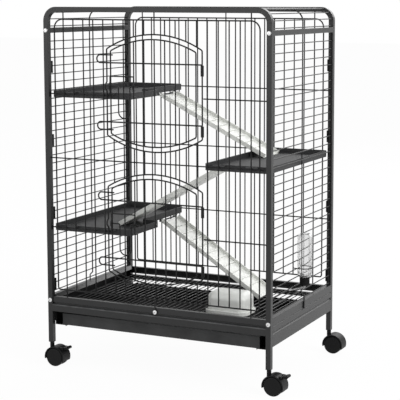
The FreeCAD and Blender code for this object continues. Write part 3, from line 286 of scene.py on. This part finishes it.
def build_cap_grip():
    """The ribs round the bottle's cap."""
    low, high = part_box("bottle_cap")
    ribs, half, tip_half, height, sunk, foot, margin = 30, 0.0009, 0.0005, 0.0009, 0.0004, 0.004, 0.006
    x, y = (low[0] + high[0]) / 2, (low[1] + high[1]) / 2
    radius = (high[0] - low[0]) / 2
    rise = Vector((0, 0, high[2] - low[2] - margin))
    shape = bmesh.new()
    for k in range(ribs):
        turn = math.tau * k / ribs
        out = Vector((math.cos(turn), math.sin(turn), 0))
        side = Vector((-out.y, out.x, 0))
        base = Vector((x, y, low[2] + foot)) + out * (radius - sunk)
        prism(shape, rib_outline(base, out, side, half, tip_half, height), rise)
    piece_of("cap_grip", shape, "black_plastic", "cage")


def build_lever_grips():
    """Ribs on the brake levers' tips."""
    radius, half, tip_half, height, sunk, inset = 0.0046, 0.0006, 0.0003, 0.0008, 0.0003, 0.003
    for name in ("front_left", "front_right"):
        low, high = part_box(f"{name}_brake_lever")
        centre = Vector((high[0] - radius, low[1] + inset, high[2] - radius))
        width = Vector((0, high[1] - low[1] - 2 * inset, 0))
        shape = bmesh.new()
        for degrees in (40, 65, 90, 115):
            turn = math.radians(degrees)
            out = Vector((math.cos(turn), 0, math.sin(turn)))
            side = Vector((-out.z, 0, out.x))
            base = centre + out * (radius - sunk)
            prism(shape, rib_outline(base, out, side, half, tip_half, height), width)
        piece_of(f"{name}_lever_grip", shape, "caster_plastic", f"{name}_brake")


build_grate()
build_rail_step_highlight()
build_screw_slots()
build_cap_grip()
build_lever_grips()


# Floor and light
def build_floor():
    """A pale floor that shows as white and keeps the object's shadow."""
    half, white_share = 30.0, 0.96
    mesh = bpy.data.meshes.new("floor")
    corners = [(-half, -half, 0), (half, -half, 0), (half, half, 0), (-half, half, 0)]
    mesh.from_pydata(corners, [], [(0, 1, 2, 3)])
    floor = bpy.data.objects.new("floor", mesh)
    scene.collection.objects.link(floor)
    material, shader, add, link = new_material("floor_white")
    place = add("ShaderNodeTexCoord").outputs["Object"]
    tone = tint(add, noise(add, place, 3.0), (0.80, 0.80, 0.80), (0.82, 0.82, 0.82))
    link(tone, shader.inputs["Base Color"])
    shader.inputs["Roughness"].default_value = 0.9
    glow = add("ShaderNodeEmission", {"Color": (1, 1, 1, 1), "Strength": 1.0})
    seen = seen_rays(add)
    amount = add("ShaderNodeMath", {0: seen, 1: white_share}, operation="MULTIPLY").outputs["Value"]
    shaders = {"Fac": amount, 1: shader.outputs["BSDF"], 2: glow.outputs["Emission"]}
    mix = add("ShaderNodeMixShader", shaders)
    link(mix.outputs["Shader"], material.node_tree.nodes["Material Output"].inputs["Surface"])
    mesh.materials.append(material)


def seen_rays(add):
    """One for rays that show the background itself: straight, mirrored or through glass."""
    path = add("ShaderNodeLightPath")
    names = ("Is Camera Ray", "Is Glossy Ray", "Is Transmission Ray")
    total = path.outputs[names[0]]
    for name in names[1:]:
        total = add("ShaderNodeMath", {0: total, 1: path.outputs[name]}, operation="MAXIMUM").outputs["Value"]
    return total


def build_world(ambient):
    """A white background that lights the object at a lower level."""
    world = bpy.data.worlds.new("studio")
    world.use_nodes = True
    scene.world = world
    tree = world.node_tree
    add = node_maker(tree)
    background = tree.nodes["Background"]
    background.inputs["Color"].default_value = (1, 1, 1, 1)
    seen = seen_rays(add)
    level = add("ShaderNodeMapRange", {"Value": seen, "To Min": ambient, "To Max": 1.0}).outputs["Result"]
    tree.links.new(level, background.inputs["Strength"])


def aim(obj, place, target):
    obj.location = place
    obj.rotation_euler = (Vector(target) - Vector(place)).to_track_quat("-Z", "Y").to_euler()


def area_light(name, place, target, size, watts):
    light = bpy.data.lights.new(name, "AREA")
    light.shape = "SQUARE"
    light.size = size
    light.energy = watts
    lamp = bpy.data.objects.new(name, light)
    scene.collection.objects.link(lamp)
    aim(lamp, place, target)


def build_camera():
    """The camera stands a little right of the front and looks slightly down."""
    yaw, pitch, roll = (math.radians(a) for a in (24.061, 6.821, 0.111))
    target, distance = Vector((0.210146, 0, 0.691762)), 3.986532
    picture, focal, centre_x, centre_y = 400, 1263.308, 252.011, 152
    back = Vector((math.sin(yaw) * math.cos(pitch), -math.cos(yaw) * math.cos(pitch), math.sin(pitch)))
    right = Vector((math.cos(yaw), math.sin(yaw), 0))
    up = back.cross(right)
    side = right * math.cos(roll) + up * math.sin(roll)
    top = up * math.cos(roll) - right * math.sin(roll)
    data = bpy.data.cameras.new("camera")
    data.sensor_width = 36.0
    data.lens = focal / picture * data.sensor_width
    data.shift_x = (picture / 2 - centre_x) / picture
    data.shift_y = (centre_y - picture / 2) / picture
    data.clip_end = 100
    camera = bpy.data.objects.new("camera", data)
    camera.matrix_world = Matrix((side, top, back)).transposed().to_4x4()
    camera.location = target + back * distance
    scene.collection.objects.link(camera)
    scene.camera = camera


build_floor()
build_world(0.6)
middle = (0, 0, 0.6)
area_light("key", (5.6, -1.2, 3.6), middle, 3.2, 340)
area_light("fill", (-2.6, -5.2, 2.2), middle, 3.6, 70)
area_light("rear", (0.6, 4.6, 3.6), middle, 3.6, 120)
build_camera()
scene.view_settings.view_transform = "Standard"
